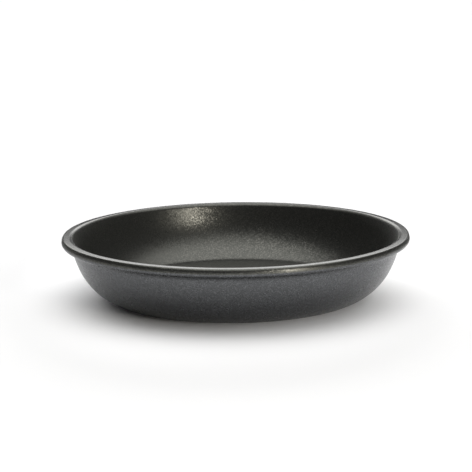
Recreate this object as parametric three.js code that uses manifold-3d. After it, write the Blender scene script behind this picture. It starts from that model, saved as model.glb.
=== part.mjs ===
// Tarte tatin pan: a round, handleless pan with flared curved sides, a thick flat base,
// a beaded rim, non-stick coats inside and out, and a perforated steel disc under the base.
// Millimetres, +Z up, with the origin at the middle of the underside.

import * as THREE from 'three';
import { mergeVertices } from 'three/addons/utils/BufferGeometryUtils.js';
import Module from 'manifold-3d';

// Outside of the finished pan
const rimDiameter = 280;
const panHeight = 50.5;
const baseDiameter = 201;

// Wall: it leaves the table at the foot angle and runs up to the lean, in degrees
const wallFootAngle = 22;
const wallLean = 14;
const footThickness = 4;
const wallThickness = 2.8;
const floorHeight = 5.5;

// Rim bead
const rimOverhang = 7.5;
const rimNoseDrop = 4;
const rimNoseWidth = 1.8;
const rimLipRadius = 2.7;
const rimInnerRadius = 3.5;
const rimNeckRadius = 6;

// Non-stick coats, and the bond line under them
const coatThickness = 0.4;
const bondGap = 0.1;
const bareHem = 1;

// Steel disc let into the underside, held by studs of the body in its holes
const discThickness = 1.2;
const bareFootWidth = 13;
const discSideClearance = 0.3;
const holeDiameter = 8;
const holePitch = 24;
const holesPerTurn = 6;
const studClearance = 0.3;
const studRoot = 1;

// Fineness of the round shapes
const turnSegments = 64;
const wallSegments = 6;
const bendSegments = 3;
const holeSegments = 10;
const weldDistance = 1e-3;

const rimRadius = rimDiameter / 2;
const baseRadius = baseDiameter / 2;
const discRadius = baseRadius - bareFootWidth;
const recessDepth = discThickness + bondGap;
const skinDepth = coatThickness + bondGap;
const undersideHeight = panHeight - rimNoseDrop - rimLipRadius;

const { degToRad } = THREE.MathUtils;
const wasm = await Module();
wasm.setup();

// Profile points hold the radius in x and the height in y
const point = (radius, height) => new THREE.Vector2(radius, height);
const slopeAt = (angle) => point(Math.cos(degToRad(angle)), Math.sin(degToRad(angle)));
const step = (from, direction, length) => from.clone().addScaledVector(direction, length);
const rightOf = (direction) => point(direction.y, -direction.x);

// Where the line through a along u meets the line through b along v
function crossing(a, u, b, v) {
  const gap = b.clone().sub(a);
  return step(a, u, gap.cross(v) / u.cross(v));
}

// Points on an upright ellipse between two angles, in degrees
function bend(centre, width, height, from, to) {
  const turn = [degToRad(from), degToRad(to)];
  const curve = new THREE.EllipseCurve(centre.x, centre.y, width, height, ...turn, to < from);
  return curve.getPoints(bendSegments);
}

// Moves a line of points to its right, by a distance that may change from end to end
function offsetLine(line, startDistance, endDistance = startDistance) {
  return line.map((here, i) => {
    const last = line.length - 1;
    const before = here.clone().sub(line[Math.max(i - 1, 0)]).normalize();
    const after = line[Math.min(i + 1, last)].clone().sub(here).normalize();
    const normalBefore = rightOf(i === 0 ? after : before);
    const normalAfter = rightOf(i === last ? before : after);
    const mitre = normalBefore.clone().add(normalAfter).divideScalar(1 + normalBefore.dot(normalAfter));
    return step(here, mitre, THREE.MathUtils.lerp(startDistance, endDistance, i / last));
  });
}

// Keeps the part of a rising or falling line that lies above a height, cut level there
function keepAbove(line, height) {
  const kept = [];
  line.forEach((here, i) => {
    const before = line[i - 1];
    if (before && (before.y - height) * (here.y - height) < 0) {
      kept.push(before.clone().lerp(here, (height - before.y) / (here.y - before.y)));
    }
    if (here.y >= height) {
      kept.push(here);
    }
  });
  return kept;
}

// Fillet of the hollow neck, no larger than the room between the wall and the rim's lip
function neckRadius() {
  const up = slopeAt(90 - wallLean);
  const reach = up.y - ((1 - up.x) * up.x) / up.y;
  return Math.min(rimNeckRadius, (rimOverhang - rimLipRadius) / reach);
}

// Outer wall, from just under the table line up to the hollow neck below the rim
function outerWallLine() {
  const up = slopeAt(90 - wallLean);
  const foot = slopeAt(wallFootAngle);
  const rimRoot = point(rimRadius - rimOverhang, undersideHeight);
  const neckDrop = neckRadius() * (1 - up.x);
  const neckTop = step(rimRoot, up, -neckDrop / up.y);
  const base = point(baseRadius, 0);
  const curve = new THREE.QuadraticBezierCurve(base, crossing(base, foot, neckTop, up), neckTop);
  const hemRun = (2 * skinDepth) / foot.y;
  return [step(base, foot, -hemRun), ...curve.getPoints(wallSegments)];
}

// Inner wall, a thickness inside the outer one, from the floor's crease up to the rim
function innerWallLine(outerWall) {
  const inside = offsetLine(outerWall.slice(1), -footThickness, -wallThickness);
  return keepAbove(inside, floorHeight);
}

// Round edge from the inner wall to the level top of the rim
function innerEdge(innerWall) {
  const up = slopeAt(90 - wallLean);
  const inner = step(innerWall.at(-1), rightOf(up), rimInnerRadius);
  const centre = crossing(inner, up, point(0, panHeight - rimInnerRadius), point(1, 0));
  return bend(centre, rimInnerRadius, rimInnerRadius, 180 - wallLean, 90);
}

// Cooking side of the finished pan: floor, inner wall and rim, out to the rim's widest line
function cookingLine(innerWall) {
  const noseCentre = point(rimRadius - rimNoseWidth, panHeight - rimNoseDrop);
  return [
    point(0, floorHeight),
    ...innerWall,
    ...innerEdge(innerWall),
    ...bend(noseCentre, rimNoseWidth, rimNoseDrop, 90, 0),
  ];
}

// Outer side of the finished pan: the rim's lip and underside, the neck and the wall down
function outerLine(outerWall) {
  const lipCentre = point(rimRadius - rimLipRadius, undersideHeight + rimLipRadius);
  const neckCentre = step(outerWall.at(-1), rightOf(slopeAt(90 - wallLean)), neckRadius());
  return [
    ...bend(lipCentre, rimLipRadius, rimLipRadius, 0, -90),
    ...bend(neckCentre, neckRadius(), neckRadius(), 90, 180 - wallLean).slice(0, -1),
    ...[...outerWall].reverse(),
  ];
}

// Turns a profile round the upright axis
function revolve(profile) {
  return new THREE.LatheGeometry(profile, turnSegments).rotateX(Math.PI / 2);
}

// Turns the band between two lines, the lower one first, into a closed shape
function revolveBand(lower, upper) {
  const profile = [...lower, ...[...upper].reverse()];
  const onAxis = profile[0].x === 0 && profile.at(-1).x === 0;
  return revolve(onAxis ? profile : [...profile, profile[0]]);
}

// Welds a shape's corners and makes a solid of it, without the slivers that end on the axis
function toSolid(geometry) {
  const bare = geometry.clone();
  bare.deleteAttribute('normal');
  bare.deleteAttribute('uv');
  const welded = mergeVertices(bare, weldDistance);
  const corners = [];
  for (let i = 0; i < welded.index.count; i += 3) {
    const triangle = [0, 1, 2].map((k) => welded.index.getX(i + k));
    if (new Set(triangle).size === 3) {
      corners.push(...triangle);
    }
  }
  return new wasm.Manifold(new wasm.Mesh({
    numProp: 3,
    vertProperties: new Float32Array(welded.attributes.position.array),
    triVerts: new Uint32Array(corners),
  }));
}

function toGeometry(solid) {
  const mesh = solid.getMesh();
  const geometry = new THREE.BufferGeometry();
  geometry.setAttribute('position', new THREE.BufferAttribute(mesh.vertProperties, mesh.numProp));
  geometry.setIndex(new THREE.BufferAttribute(mesh.triVerts, 1));
  geometry.computeVertexNormals();
  return geometry;
}

// Hole centres in rings round the middle, as many rings as the disc has room for
function holeCentres() {
  const rings = Math.floor((discRadius - holeDiameter) / holePitch);
  const centres = [];
  for (let ring = 1; ring <= rings; ring += 1) {
    const count = ring * holesPerTurn;
    for (let k = 0; k < count; k += 1) {
      const turn = (2 * Math.PI * k) / count;
      centres.push(point(ring * holePitch * Math.cos(turn), ring * holePitch * Math.sin(turn)));
    }
  }
  return centres;
}

// Upright round pins at all the hole centres, between two heights
function pins(radius, bottom, top) {
  return holeCentres().map((centre) => {
    const pin = new THREE.CylinderGeometry(radius, radius, top - bottom, holeSegments);
    pin.rotateX(Math.PI / 2).translate(centre.x, centre.y, (top + bottom) / 2);
    return toSolid(pin);
  });
}

// The finished pan's whole surface line, and the lines under its coats
const outerWall = outerWallLine();
const cookingSide = cookingLine(innerWallLine(outerWall));
const finishedLine = [...cookingSide, ...outerLine(outerWall).slice(1)];
const coatBackLine = offsetLine(finishedLine, coatThickness);
const bodyLine = offsetLine(finishedLine, skinDepth);
const widestIndex = cookingSide.length - 1;

// Cast body: everything under the coats, with the disc's recess and its studs
function bodyGeometry() {
  const recessRadius = discRadius + discSideClearance;
  const underside = [point(0, recessDepth), point(recessRadius, recessDepth), point(recessRadius, 0)];
  const shell = revolveBand(underside, keepAbove(bodyLine, 0));
  const studs = pins(holeDiameter / 2 - studClearance, 0, recessDepth + studRoot);
  return toGeometry(studs.reduce((body, stud) => body.add(stud), toSolid(shell)));
}

// Coat on the cooking side, from the middle of the floor over the top of the rim
function innerCoatGeometry() {
  const [back, face] = [coatBackLine, finishedLine].map((line) => line.slice(0, widestIndex + 1));
  return revolveBand(back, face);
}

// Coat on the outer side, from just under the rim's widest line down to the bare hem
function outerCoatGeometry() {
  const [back, face] = [coatBackLine, finishedLine].map((line) => {
    const [widest, ...rest] = line.slice(widestIndex);
    return keepAbove([point(widest.x, widest.y - bondGap), ...rest], bareHem);
  });
  return revolveBand(back, face);
}

// Flat steel disc with a hole over each stud
function discGeometry() {
  const plate = new THREE.CylinderGeometry(discRadius, discRadius, discThickness, turnSegments);
  plate.rotateX(Math.PI / 2).translate(0, 0, discThickness / 2);
  const drills = pins(holeDiameter / 2, -studRoot, discThickness + studRoot);
  return toGeometry(drills.reduce((disc, drill) => disc.subtract(drill), toSolid(plate)));
}

function addPart(group, name, geometry, color, roughness, metalness) {
  const material = new THREE.MeshStandardMaterial({ color, roughness, metalness });
  const mesh = new THREE.Mesh(geometry, material);
  mesh.name = name;
  group.add(mesh);
}

const pan = new THREE.Group();
addPart(pan, 'pan_body', bodyGeometry(), 0xb9bcc0, 0.45, 1);
addPart(pan, 'inner_coating', innerCoatGeometry(), 0x33322f, 0.42, 0.3);
addPart(pan, 'outer_coating', outerCoatGeometry(), 0x3d3f43, 0.45, 0.3);
addPart(pan, 'induction_disc', discGeometry(), 0xa9abae, 0.35, 1);

export default pan;
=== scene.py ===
import math

import bpy
from mathutils import Matrix, Vector


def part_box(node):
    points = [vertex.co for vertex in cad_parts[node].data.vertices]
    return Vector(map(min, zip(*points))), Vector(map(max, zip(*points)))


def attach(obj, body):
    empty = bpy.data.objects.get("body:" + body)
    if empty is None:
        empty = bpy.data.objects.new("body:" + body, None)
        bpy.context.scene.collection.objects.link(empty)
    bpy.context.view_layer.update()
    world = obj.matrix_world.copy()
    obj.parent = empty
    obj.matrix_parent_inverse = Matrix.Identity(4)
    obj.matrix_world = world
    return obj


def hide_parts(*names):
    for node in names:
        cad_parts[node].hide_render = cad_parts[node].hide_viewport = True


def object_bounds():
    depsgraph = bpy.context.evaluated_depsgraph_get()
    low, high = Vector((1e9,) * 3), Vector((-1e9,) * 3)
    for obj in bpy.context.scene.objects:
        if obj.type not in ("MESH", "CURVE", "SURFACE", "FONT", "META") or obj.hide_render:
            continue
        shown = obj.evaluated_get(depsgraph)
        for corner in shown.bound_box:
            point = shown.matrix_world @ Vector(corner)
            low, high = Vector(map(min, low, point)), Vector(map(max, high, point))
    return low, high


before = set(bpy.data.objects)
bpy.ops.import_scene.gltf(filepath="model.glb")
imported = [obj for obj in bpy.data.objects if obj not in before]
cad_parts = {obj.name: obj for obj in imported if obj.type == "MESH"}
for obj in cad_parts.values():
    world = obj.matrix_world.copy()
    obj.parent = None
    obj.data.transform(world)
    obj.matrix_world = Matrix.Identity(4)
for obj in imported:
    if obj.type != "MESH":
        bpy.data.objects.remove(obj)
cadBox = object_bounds()
mm = 0.001
print("frame loaded:", ", ".join(sorted(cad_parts)))


# Lines of the pan's section: points hold the radius in x and the height in y

panShape = {
    "rimRadius": cadBox[1].x,
    "height": cadBox[1].z,
    "baseRadius": 100.5 * mm,
    "footAngle": 22,            # degrees above the table where the wall starts
    "footDrop": 2 * mm,         # the wall's line goes on below the table, to be cut level
    "lean": 14,                 # degrees off upright at the top of the wall
    "footThickness": 4 * mm,
    "wallThickness": 2.8 * mm,
    "floorHeight": 5.5 * mm,
    "creaseRadius": 8 * mm,     # soft break between floor and wall
    "overhang": 7.5 * mm,       # wall to the widest line of the rim
    "noseDrop": 4 * mm,
    "noseWidth": 1.8 * mm,
    "lipRadius": 2.7 * mm,
    "topFall": 0.18 * mm,       # the rim's top leans out a little
    "edgeRadius": 3.5 * mm,     # inner edge of the rim
    "neckRadius": 6 * mm,
    "coatThickness": 0.4 * mm,
    "bondGap": 0.1 * mm,
    "wallPoints": 30,
    "creasePoints": 3,          # wall points that the crease takes the place of
    "topPoints": (0.1, 0.5, 0.9),       # shares of the way across the rim's top
    "bendPoints": 8,
    "turnSteps": 192,
}


def slopeAt(angle):
    return Vector((math.cos(math.radians(angle)), math.sin(math.radians(angle))))


def rightOf(direction):
    return Vector((direction.y, -direction.x))


def crossing(a, u, b, v):       # where the line a + u meets the line b + v
    gap = b - a
    return a + u * ((gap.x * v.y - gap.y * v.x) / (u.x * v.y - u.y * v.x))


def bendLine(centre, width, height, start, end):
    count = panShape["bendPoints"]
    line = []
    for k in range(count + 1):
        way = slopeAt(start + (end - start) * k / count)
        line.append(Vector((centre.x + width * way.x, centre.y + height * way.y)))
    return line


def curveLine(first, corner, last, count):      # drawn towards the corner on its way
    steps = [k / count for k in range(count + 1)]
    return [first * (1 - t) ** 2 + corner * (2 * t * (1 - t)) + last * t ** 2 for t in steps]


def roundCorner(before, corner, after, radius):
    inWay = (corner - before).normalized()
    outWay = (after - corner).normalized()
    reach = radius * math.tan(inWay.angle(outWay) / 2)
    first, last = corner - inWay * reach, corner + outWay * reach
    return curveLine(first, corner, last, panShape["bendPoints"])


def offsetLine(line, first, last=None):     # to the right of the line's way
    last = first if last is None else last
    moved = []
    for k, here in enumerate(line):
        near = line[max(k - 1, 0):k + 2]    # the point and its neighbours
        ways = [(b - a).normalized() for a, b in zip(near, near[1:])]
        normals = [rightOf(way) for way in ways]
        mitre = (normals[0] + normals[-1]) / (1 + normals[0].dot(normals[-1]))
        moved.append(here + mitre * (first + (last - first) * k / (len(line) - 1)))
    return moved


def keepAbove(line, height):    # cut level at that height
    kept = []
    for k, here in enumerate(line):
        before = line[k - 1] if k else here
        if (before.y - height) * (here.y - height) < 0:
            kept.append(before.lerp(here, (height - before.y) / (here.y - before.y)))
        if here.y >= height:
            kept.append(here)
    return kept


def panLines(shape):
    up, foot = slopeAt(90 - shape["lean"]), slopeAt(shape["footAngle"])
    rimRadius, noseLevel = shape["rimRadius"], shape["height"] - shape["noseDrop"]
    underside = noseLevel - shape["lipRadius"]
    rimRoot = Vector((rimRadius - shape["overhang"], underside))
    neckTop = rimRoot - up * (shape["neckRadius"] * (1 - up.x) / up.y)
    base = Vector((shape["baseRadius"], 0))
    corner = crossing(base, foot, neckTop, up)
    outerWall = curveLine(base, corner, neckTop, shape["wallPoints"])
    inside = offsetLine(outerWall, -shape["footThickness"], -shape["wallThickness"])
    innerWall = keepAbove(inside, shape["floorHeight"])
    middle = Vector((0, shape["floorHeight"]))
    wallRest = innerWall[shape["creasePoints"]:]
    crease = roundCorner(middle, innerWall[0], wallRest[0], shape["creaseRadius"])
    edgeLine = innerWall[-1] + rightOf(up) * shape["edgeRadius"]
    edgeLevel = Vector((0, shape["height"] - shape["edgeRadius"]))
    edgeCentre = crossing(edgeLine, up, edgeLevel, Vector((1, 0)))
    noseCentre = Vector((rimRadius - shape["noseWidth"], noseLevel))
    lipCentre = Vector((rimRadius - shape["lipRadius"], underside + shape["lipRadius"]))
    neckCentre = neckTop + rightOf(up) * shape["neckRadius"]
    edge = bendLine(edgeCentre, shape["edgeRadius"], shape["edgeRadius"], 180 - shape["lean"], 90)
    nose = bendLine(noseCentre, shape["noseWidth"], shape["noseDrop"] - shape["topFall"], 90, 0)
    lip = bendLine(lipCentre, shape["lipRadius"], shape["lipRadius"], 0, -90)
    neck = bendLine(neckCentre, shape["neckRadius"], shape["neckRadius"], 90, 180 - shape["lean"])
    rimTop = [edge[-1].lerp(nose[0], t) for t in shape["topPoints"]]
    lineEnd = base - foot * (shape["footDrop"] / foot.y)
    cooking = [middle] + crease + wallRest + edge + rimTop + nose
    outer = lip[1:] + neck[:-1] + outerWall[::-1] + [lineEnd]
    return cooking + outer, len(cooking) - 1


finishedLine, widest = panLines(panShape)
coatBack = offsetLine(finishedLine, panShape["coatThickness"])
bodyLine = offsetLine(finishedLine, panShape["coatThickness"] + panShape["bondGap"])
print("section lines drawn:", len(finishedLine), "points")


# Modelling helpers

meshLimits = {
    "spinWeld": 0.002 * mm,     # doubles on the axis and where the spin closes
    "spinSliver": 0.001 * mm,
    "cutWeld": 0.005 * mm,      # doubles and slivers that a boolean leaves
    "bevelSteps": 2,
    "bevelAngle": 50,
}


def pickPiece(piece):           # selected alone, and active
    bpy.ops.object.select_all(action="DESELECT")
    piece.select_set(True)
    bpy.context.view_layer.objects.active = piece


def startPiece(name, points):   # one vertex, then extruded from point to point
    bpy.ops.object.select_all(action="DESELECT")
    bpy.ops.mesh.primitive_plane_add(size=1 * mm, location=(points[0].x, 0, points[0].y))
    piece = bpy.context.object
    piece.name = piece.data.name = name
    bpy.ops.object.transform_apply(location=True, rotation=True, scale=True)
    bpy.ops.object.mode_set(mode="EDIT")
    bpy.ops.mesh.select_all(action="SELECT")
    bpy.ops.mesh.merge(type="CENTER")
    for here, there in zip(points, points[1:]):
        move = (there.x - here.x, 0, there.y - here.y)
        bpy.ops.mesh.extrude_vertices_move(TRANSFORM_OT_translate={"value": move})
    return piece


def spinPiece(piece):           # round the pan's axis, closed and facing out
    bpy.ops.mesh.select_all(action="SELECT")
    bpy.ops.mesh.spin(
        steps=panShape["turnSteps"],
        angle=2 * math.pi,
        center=(0, 0, 0),
        axis=(0, 0, 1),
    )
    bpy.ops.mesh.select_all(action="SELECT")
    bpy.ops.mesh.remove_doubles(threshold=meshLimits["spinWeld"])
    bpy.ops.mesh.dissolve_degenerate(threshold=meshLimits["spinSliver"])
    bpy.ops.mesh.select_all(action="SELECT")
    bpy.ops.mesh.normals_make_consistent(inside=False)
    bpy.ops.object.mode_set(mode="OBJECT")
    return piece


def smoothPiece(piece, angle):
    pickPiece(piece)
    bpy.ops.object.shade_smooth_by_angle(angle=math.radians(angle))


def applyBevel(piece, width):
    pickPiece(piece)
    bevel = piece.modifiers.new("edges", "BEVEL")
    bevel.width = width
    bevel.segments = meshLimits["bevelSteps"]
    bevel.limit_method = "ANGLE"
    bevel.angle_limit = math.radians(meshLimits["bevelAngle"])
    bpy.ops.object.modifier_apply(modifier=bevel.name)


def applyBoolean(piece, other, operation):      # and the other piece is used up
    pickPiece(piece)
    boolean = piece.modifiers.new("boolean", "BOOLEAN")
    boolean.object = other
    boolean.operation = operation
    boolean.solver = "EXACT"
    bpy.ops.object.modifier_apply(modifier=boolean.name)
    bpy.data.objects.remove(other)
    bpy.ops.object.mode_set(mode="EDIT")
    bpy.ops.mesh.select_all(action="SELECT")
    bpy.ops.mesh.remove_doubles(threshold=meshLimits["cutWeld"])
    bpy.ops.mesh.dissolve_degenerate(threshold=meshLimits["cutWeld"])
    bpy.ops.object.mode_set(mode="OBJECT")


def holeCentres(look):          # rings of holes round the middle
    centres = []
    for ring in range(1, look["rings"] + 1):
        count = ring * look["holesPerTurn"]
        for k in range(count):
            turn = 2 * math.pi * k / count
            reach = ring * look["pitch"]
            centres.append((reach * math.cos(turn), reach * math.sin(turn)))
    return centres


def roundPins(name, look, radius, low, high):   # one pin, copied to each hole and joined
    bpy.ops.object.select_all(action="DESELECT")
    middle = (low + high) / 2
    pins = []
    for x, y in holeCentres(look):
        if not pins:
            bpy.ops.mesh.primitive_cylinder_add(
                vertices=look["holeSides"],
                radius=radius,
                depth=high - low,
                location=(x, y, middle),
            )
            pin = bpy.context.object
        else:
            pin = pins[0].copy()
            pin.data = pins[0].data.copy()
            pin.location = (x, y, middle)
            bpy.context.collection.objects.link(pin)
        pins.append(pin)
    for pin in pins:
        pin.select_set(True)
    bpy.context.view_layer.objects.active = pins[0]
    bpy.ops.object.join()
    bpy.ops.object.transform_apply(location=True, rotation=True, scale=True)
    joined = bpy.context.object
    joined.name = joined.data.name = name
    return joined


# Shader writing: one wire for each socket, with plain maths on it

class Wire:
    def __init__(self, tree, socket=None):
        self.tree = tree
        self.socket = socket

    def node(self, kind, settings=None, sockets=None, out=0):
        made = self.tree.nodes.new(kind)
        for key, value in (settings or {}).items():
            setattr(made, key, value)
        for key, value in (sockets or {}).items():
            if isinstance(value, Wire):
                self.tree.links.new(value.socket, made.inputs[key])
            else:
                made.inputs[key].default_value = value
        return Wire(self.tree, made.outputs[out] if made.outputs else None)

    def maths(self, operation, a, b):
        return self.node("ShaderNodeMath", {"operation": operation}, {0: a, 1: b})

    def __add__(self, other):
        return self.maths("ADD", self, other)

    def __sub__(self, other):
        return self.maths("SUBTRACT", self, other)

    def __mul__(self, other):
        return self.maths("MULTIPLY", self, other)

    def __rsub__(self, other):
        return self.maths("SUBTRACT", other, self)

    __radd__ = __add__
    __rmul__ = __mul__

    def between(self, low, high):       # 0 at low, 1 at high, smooth
        smooth = {"interpolation_type": "SMOOTHSTEP"}
        ends = {"Value": self, "From Min": low, "From Max": high}
        return self.node("ShaderNodeMapRange", smooth, ends)

    def mixColour(self, dark, light):   # this wire is the share of light
        colours = {0: self, 6: dark, 7: light}      # a Mix node's colours are 6, 7 and out 2
        return self.node("ShaderNodeMix", {"data_type": "RGBA"}, colours, 2)

    def vector(self, operation, sockets=None, out="Vector"):
        settings, sockets = {"operation": operation}, {0: self, **(sockets or {})}
        return self.node("ShaderNodeVectorMath", settings, sockets, out)

    def along(self, axis):              # how far a direction points along an axis
        return self.vector("DOT_PRODUCT", {1: axis}, "Value")

    def part(self, letter):             # X, Y or Z of a vector
        return self.node("ShaderNodeSeparateXYZ", None, {0: self}, letter)

    def noise(self, size, detail):
        sockets = {"Vector": self, "Scale": 1 / size, "Detail": detail}
        return self.node("ShaderNodeTexNoise", None, sockets)


def newMaterial(name):
    material = bpy.data.materials.new(name)
    material.use_nodes = True
    material.node_tree.nodes.clear()
    return material, Wire(material.node_tree)


def giveFinish(material, wire, sockets):
    surface = wire.node("ShaderNodeBsdfPrincipled", None, sockets)
    wire.node("ShaderNodeOutputMaterial", None, {"Surface": surface})
    return material


def rgba(red, green, blue):
    return (red, green, blue, 1)


meanDraw = 0.5                  # middle of a noise and of a random colour


# Non-stick finish: dark binder, fine metal flakes, soft orange peel

def nonstickFinish(name, look):
    material, wire = newMaterial(name)
    place = wire.node("ShaderNodeTexCoord", out="Object")
    cells = {"voronoi_dimensions": "3D", "feature": "F1"}
    flakeCells = {"Vector": place, "Scale": 1 / look["flakeSize"], "Randomness": 1.0}
    flakeTint = wire.node("ShaderNodeTexVoronoi", cells, flakeCells, "Color")
    draw = wire.node("ShaderNodeSeparateColor", None, {0: flakeTint}, "Red")
    flake = draw.between(1 - look["flakeShare"], 1.0)
    mottle = place.noise(look["mottleSize"], look["mottleDetail"])
    shade = flake * look["flakeStrength"] + mottle * look["mottleStrength"]
    rim = place.part("Z").between(*look["rimHeight"])
    uneven = 1 - rim * look["rimCalm"]
    roughness = look["roughness"] + (mottle - meanDraw) * look["roughnessSpread"]
    roughness = roughness - flake * look["flakePolish"] - rim * look["rimPolish"]
    bump = wire.node("ShaderNodeBump", None, {
        "Height": place.noise(look["peelSize"], look["peelDetail"]),
        "Strength": uneven * look["peelStrength"],
        "Distance": look["peelDepth"],
    })
    tilt = flakeTint.vector("SUBTRACT", {1: (meanDraw, meanDraw, meanDraw)})
    lean = tilt.vector("SCALE", {"Scale": uneven * look["flakeTilt"]})
    return giveFinish(material, wire, {
        "Base Color": shade.mixColour(look["binder"], look["flake"]),
        "Metallic": look["metallic"] + flake * look["flakeMetal"],
        "Roughness": roughness,
        "Normal": bump.vector("ADD", {1: lean}).vector("NORMALIZE"),
        "Specular IOR Level": look["specular"],
    })


# Turned bare metal: fine rings round the axis, and a little unevenness

def turnedFinish(name, look):
    material, wire = newMaterial(name)
    place = wire.node("ShaderNodeTexCoord", out="Object")
    radius = place.vector("MULTIPLY", {1: (1, 1, 0)}).vector("LENGTH", out="Value")
    rings = wire.node("ShaderNodeTexNoise", {"noise_dimensions": "1D"}, {
        "W": radius,
        "Scale": 1 / look["ringSize"],
        "Detail": look["ringDetail"],
    })
    cloud = place.noise(look["cloudSize"], look["cloudDetail"])
    shade = rings * look["ringTint"] + cloud * (1 - look["ringTint"])
    bump = wire.node("ShaderNodeBump", None, {
        "Height": rings,
        "Strength": look["ringStrength"],
        "Distance": look["ringDepth"],
    })
    return giveFinish(material, wire, {
        "Base Color": shade.mixColour(look["dark"], look["light"]),
        "Metallic": 1.0,
        "Roughness": look["roughness"] + (cloud - meanDraw) * look["roughnessSpread"],
        "Normal": bump,
    })


def dress(piece, node, material):
    piece.data.materials.clear()
    piece.data.materials.append(material)
    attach(piece, "root")
    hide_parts(node)
    print("made", piece.name, "with", len(piece.data.polygons), "faces")


# Inner coat: floor, wall and top of the rim

innerCoatLook = {
    "smoothAngle": 40,
    "binder": rgba(0.083, 0.0845, 0.0765),
    "flake": rgba(0.42, 0.40, 0.36),
    "flakeSize": 0.7 * mm,
    "flakeShare": 0.55,
    "flakeStrength": 0.16,
    "flakeTilt": 0.11,
    "flakeMetal": 0.05,
    "flakePolish": 0.04,
    "metallic": 0.90,
    "mottleSize": 3 * mm,
    "mottleDetail": 3.0,
    "mottleStrength": 0.02,
    "roughness": 0.32,
    "roughnessSpread": 0.06,
    "rimHeight": (49.6 * mm, 50.3 * mm),
    "rimPolish": 0.19,          # the top of the rim is smoother than the walls
    "rimCalm": 0.8,
    "peelSize": 1.2 * mm,
    "peelDetail": 2.0,
    "peelStrength": 0.14,
    "peelDepth": 0.04 * mm,
    "specular": 0.5,
}


def makeInnerCoat():
    face, back = finishedLine[:widest + 1], coatBack[:widest + 1]
    piece = spinPiece(startPiece("innerCoat", back + face[::-1]))
    smoothPiece(piece, innerCoatLook["smoothAngle"])
    finish = nonstickFinish("innerNonstick", innerCoatLook)
    dress(piece, "inner_coating", finish)


makeInnerCoat()


# Outer coat: lip of the rim, wall, and the level hem above the base

outerCoatLook = dict(
    innerCoatLook,
    binder=rgba(0.092, 0.0945, 0.098),
    flake=rgba(0.42, 0.43, 0.45),
    flakeStrength=0.13,
    roughness=0.30,
    hem=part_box("outer_coating")[0].z,
)


def makeOuterCoat():
    face, back = finishedLine[widest:], coatBack[widest:]
    face, back = (keepAbove(line, outerCoatLook["hem"]) for line in (face, back))
    piece = spinPiece(startPiece("outerCoat", back + face[::-1] + back[:1]))
    smoothPiece(piece, outerCoatLook["smoothAngle"])
    finish = nonstickFinish("outerNonstick", outerCoatLook)
    dress(piece, "outer_coating", finish)


makeOuterCoat()


# Induction disc: steel plate with a bevelled hole over each stud

discLook = {
    "radius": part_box("induction_disc")[1].x,
    "thickness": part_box("induction_disc")[1].z,
    "rings": 3,
    "holesPerTurn": 6,
    "pitch": 24 * mm,
    "holeRadius": 4 * mm,
    "holeSides": 40,
    "drillEnds": (-2 * mm, 4 * mm),     # clear of both faces
    "sideClearance": 0.3 * mm,
    "edge": 0.15 * mm,
    "smoothAngle": 15,
    "dark": rgba(0.36, 0.36, 0.37),
    "light": rgba(0.62, 0.62, 0.63),
    "ringSize": 0.7 * mm,
    "ringDetail": 4.0,
    "ringTint": 0.7,
    "ringStrength": 0.35,
    "ringDepth": 0.03 * mm,
    "cloudSize": 25 * mm,
    "cloudDetail": 4.0,
    "roughness": 0.34,
    "roughnessSpread": 0.12,
}


def makeDisc():
    bpy.ops.object.select_all(action="DESELECT")
    bpy.ops.mesh.primitive_cylinder_add(
        vertices=panShape["turnSteps"],
        radius=discLook["radius"],
        depth=discLook["thickness"],
        location=(0, 0, discLook["thickness"] / 2),
    )
    piece = bpy.context.object
    piece.name = piece.data.name = "inductionDisc"
    bpy.ops.object.transform_apply(location=True, rotation=True, scale=True)
    drills = roundPins("drills", discLook, discLook["holeRadius"], *discLook["drillEnds"])
    applyBoolean(piece, drills, "DIFFERENCE")
    applyBevel(piece, discLook["edge"])
    smoothPiece(piece, discLook["smoothAngle"])
    dress(piece, "induction_disc", turnedFinish("discSteel", discLook))


makeDisc()


# Body: bare metal under the coats, with the foot ring, the disc's recess and the studs

bodyLook = {
    "studClearance": 0.3 * mm,
    "studRoot": 1 * mm,
    "edge": 0.2 * mm,
    "smoothAngle": 15,
    "dark": rgba(0.44, 0.44, 0.45),
    "light": rgba(0.70, 0.70, 0.71),
    "ringSize": 0.9 * mm,
    "ringDetail": 4.0,
    "ringTint": 0.6,
    "ringStrength": 0.4,
    "ringDepth": 0.04 * mm,
    "cloudSize": 18 * mm,
    "cloudDetail": 4.0,
    "roughness": 0.42,
    "roughnessSpread": 0.12,
}


def makeBody():
    recess = discLook["thickness"] + panShape["bondGap"]
    recessRadius = discLook["radius"] + discLook["sideClearance"]
    underside = [Vector((0, recess)), Vector((recessRadius, recess)), Vector((recessRadius, 0))]
    body = spinPiece(startPiece("panBody", underside + keepAbove(bodyLine, 0)[::-1]))
    applyBevel(body, bodyLook["edge"])
    studRadius = discLook["holeRadius"] - bodyLook["studClearance"]
    studs = roundPins("studs", discLook, studRadius, 0, recess + bodyLook["studRoot"])
    applyBevel(studs, bodyLook["edge"])
    applyBoolean(body, studs, "UNION")
    smoothPiece(body, bodyLook["smoothAngle"])
    dress(body, "pan_body", turnedFinish("castAluminium", bodyLook))


makeBody()


# Studio: white table with painted shade, in a dark room, a soft top light, a pale panel behind
# and a warm key

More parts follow.
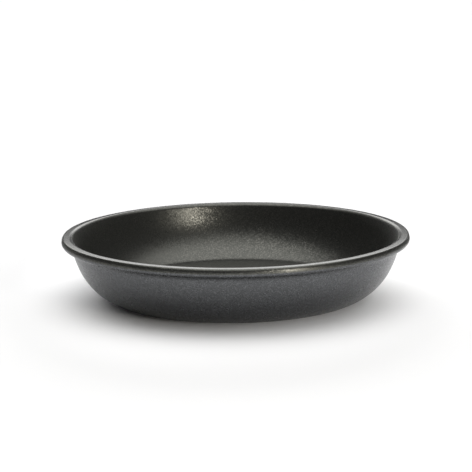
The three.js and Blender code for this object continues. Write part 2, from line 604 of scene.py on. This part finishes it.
studioLook = {
    "floorSize": 40.0,
    "floorCells": 8,
    "floorDrop": 0.05 * mm,             # clear of the pan's flat foot
    "floorColour": rgba(0.97, 0.97, 0.97),
    "paintedShadeColour": rgba(0.745, 0.745, 0.745),     # painted shade: the table's colour as the camera sees it, darker away from the pan
    "paintedShadeEdge": (0.125, 0.200),          # the painted shade comes in round the pan's shadow, in an oval
    "paintedShadeShape": (1.05, 0.6, 0),
    "paintedShadeShift": (0.008, -0.036, 0),
    # Painted shade that only gloss rays see: the table's colour goes to this dark grey behind the
    # pan and darker to both sides, so the pan reflects a dark table there.
    "glossShadeColour": rgba(0.10, 0.10, 0.10),
    "glossShadeDepth": (0.12, 0.25),          # painted shade in reflections: gloss rays see the table's colour go dark past this depth
    "glossShadeLeft": (0.0, -0.25),          # and painted darker on both sides
    "leftGlossShade": 0.40,
    "glossShadeRight": (0.05, 0.25),
    "rightGlossShade": 0.29,
    "room": 0.085,
    "topLight": 1.7,
    "topWay": Vector((0.04, 0.06, 1)).normalized(),
    "topEdge": (0.57, 0.95),
    "topNarrow": 0.15,                  # less of it to the sides
    "panel": 2.0,                       # pale panel behind the table
    "panelRise": (0.145, 0.345),
    "panelFall": (0.45, 0.7),
    "panelSide": (0.06, 0.22),
    "panelDepth": (0, 0.1),             # none of it in front
    "topOnTable": 1.22,
    "topBack": 0.2,                     # on the table, more of it from behind
    "leftLight": 0.3,                   # on the table, from the left and a little behind
    "leftWay": Vector((-0.7, 0.71, 0)),
    "rightLight": 1.7,                  # on the table, from the right
    "rightWay": Vector((0.94, -0.34, 0)),
    "sideEdge": (0.5, 1.0),
    "backLight": 10.3,                  # on the table, from low behind
    "backEdge": (0.6, 0.95),
    "backFall": (0.2, 0.6),
    "keyPower": 15.0,
    "keyWidth": 0.40,
    "keyLength": 1.0,
    "keyColour": (1.0, 0.95, 0.87),
    "keyAzimuth": 35,
    "keyHeight": 13,
    "keyDistance": 2.4,
}


def makeFloor():
    bpy.ops.object.select_all(action="DESELECT")
    bpy.ops.mesh.primitive_grid_add(
        x_subdivisions=studioLook["floorCells"],
        y_subdivisions=studioLook["floorCells"],
        size=studioLook["floorSize"],
        location=(0, 0, -studioLook["floorDrop"]),
    )
    floor = bpy.context.object
    floor.name = "floor"
    material, wire = newMaterial("floorPaper")
    place = wire.node("ShaderNodeTexCoord", out="Object")
    across, depth = place.part("X"), place.part("Y")
    # Painted shade in reflections: for gloss rays the table's colour goes dark behind the pan and
    # darker to both sides.
    left = across.between(*studioLook["glossShadeLeft"]) * studioLook["leftGlossShade"]
    right = across.between(*studioLook["glossShadeRight"]) * studioLook["rightGlossShade"]
    bright = (1 - depth.between(*studioLook["glossShadeDepth"])) * (1 - left) * (1 - right)
    glossShadeShare = (1 - bright) * wire.node("ShaderNodeLightPath", out="Is Glossy Ray")
    # Painted shade: as the camera sees it, the table's colour goes darker in an oval away from
    # the pan, a wide soft fade round the pan's shadow.
    oval = {1: studioLook["paintedShadeShape"], 2: studioLook["paintedShadeShift"]}
    reach = place.vector("MULTIPLY_ADD", oval).vector("LENGTH", out="Value")
    paintedShadeShare = reach.between(*studioLook["paintedShadeEdge"])
    paintedShadeShare = paintedShadeShare * wire.node("ShaderNodeLightPath", out="Is Camera Ray")
    paperWithPaintedShade = paintedShadeShare.mixColour(studioLook["floorColour"], studioLook["paintedShadeColour"])
    colour = glossShadeShare.mixColour(paperWithPaintedShade, studioLook["glossShadeColour"])
    surface = wire.node("ShaderNodeBsdfDiffuse", None, {"Color": colour})
    wire.node("ShaderNodeOutputMaterial", None, {"Surface": surface})
    floor.data.materials.append(material)


def makeWorld():
    world = bpy.data.worlds.new("studio")
    bpy.context.scene.world = world
    world.use_nodes = True
    world.node_tree.nodes.clear()
    wire = Wire(world.node_tree)
    way = wire.node("ShaderNodeTexCoord", out="Generated")
    across, depth, height = way.part("X"), way.part("Y"), way.part("Z")
    # What gloss shows
    lift = way.along(studioLook["topWay"])
    narrow = lift - across * across * studioLook["topNarrow"]
    top = narrow.between(*studioLook["topEdge"]) * studioLook["topLight"]
    panel = height.between(*studioLook["panelRise"])
    panel = panel * (1 - height.between(*studioLook["panelFall"]))
    panel = panel * (1 - (across * across).between(*studioLook["panelSide"]))
    panel = panel * depth.between(*studioLook["panelDepth"])
    gloss = studioLook["room"] + top + panel * studioLook["panel"]
    # What lights the table
    tableLift = lift + depth * studioLook["topBack"]
    tableTop = tableLift.between(*studioLook["topEdge"]) * studioLook["topLight"]
    back = depth.between(*studioLook["backEdge"]) * (1 - height.between(*studioLook["backFall"]))
    left = way.along(studioLook["leftWay"]).between(*studioLook["sideEdge"])
    right = way.along(studioLook["rightWay"]).between(*studioLook["sideEdge"])
    sides = left * studioLook["leftLight"] + right * studioLook["rightLight"]
    soft = tableTop * studioLook["topOnTable"] + sides + back * studioLook["backLight"]
    # White behind everything
    seen = wire.node("ShaderNodeLightPath", out="Is Camera Ray")
    glossy = wire.node("ShaderNodeLightPath", out="Is Glossy Ray")
    through = wire.node("ShaderNodeLightPath", out="Is Transmission Ray")
    plain = seen + through
    level = plain + glossy * gloss + (1 - plain) * (1 - glossy) * soft
    white = {"Color": rgba(1, 1, 1), "Strength": level}
    surface = wire.node("ShaderNodeBackground", None, white)
    wire.node("ShaderNodeOutputWorld", None, {"Surface": surface})


def makeKey():
    turn = math.radians(studioLook["keyAzimuth"])
    rise = math.radians(studioLook["keyHeight"])
    flat = math.cos(rise)
    way = Vector((math.sin(turn) * flat, -math.cos(turn) * flat, math.sin(rise)))
    bpy.ops.object.light_add(type="AREA", location=way * studioLook["keyDistance"])
    key = bpy.context.object
    key.name = "key"
    key.data.shape = "RECTANGLE"
    key.data.size = studioLook["keyWidth"]
    key.data.size_y = studioLook["keyLength"]
    key.data.energy = studioLook["keyPower"]
    key.data.color = studioLook["keyColour"]
    key.rotation_euler = way.to_track_quat("Z", "Y").to_euler()


# Camera of the photograph, 472 by 472 pixels

cameraLook = {
    "elevation": 11.32,         # degrees, as is the roll
    "roll": -0.734,
    "distance": 1.3,
    "aim": Vector((0.388 * mm, 0, cadBox[1].z - 3.30 * mm)),
    "focalPixels": 1608.2,
    "framePixels": 472,
    "sensorWidth": 36,
}


def makeCamera():
    bpy.ops.object.camera_add()
    camera = bpy.context.object
    rise = math.radians(cameraLook["elevation"])
    back = Vector((0, -math.cos(rise), math.sin(rise)))
    tip = Matrix.Rotation(math.pi / 2 - rise, 3, "X")
    turn = tip @ Matrix.Rotation(math.radians(cameraLook["roll"]), 3, "Z")
    camera.location = cameraLook["aim"] + back * cameraLook["distance"]
    camera.rotation_euler = turn.to_euler()
    camera.data.sensor_width = cameraLook["sensorWidth"]
    zoom = cameraLook["focalPixels"] / cameraLook["framePixels"]
    camera.data.lens = camera.data.sensor_width * zoom
    bpy.context.scene.camera = camera


makeFloor()
makeWorld()
makeKey()
makeCamera()
bpy.context.scene.view_settings.view_transform = "Standard"
print("studio set")
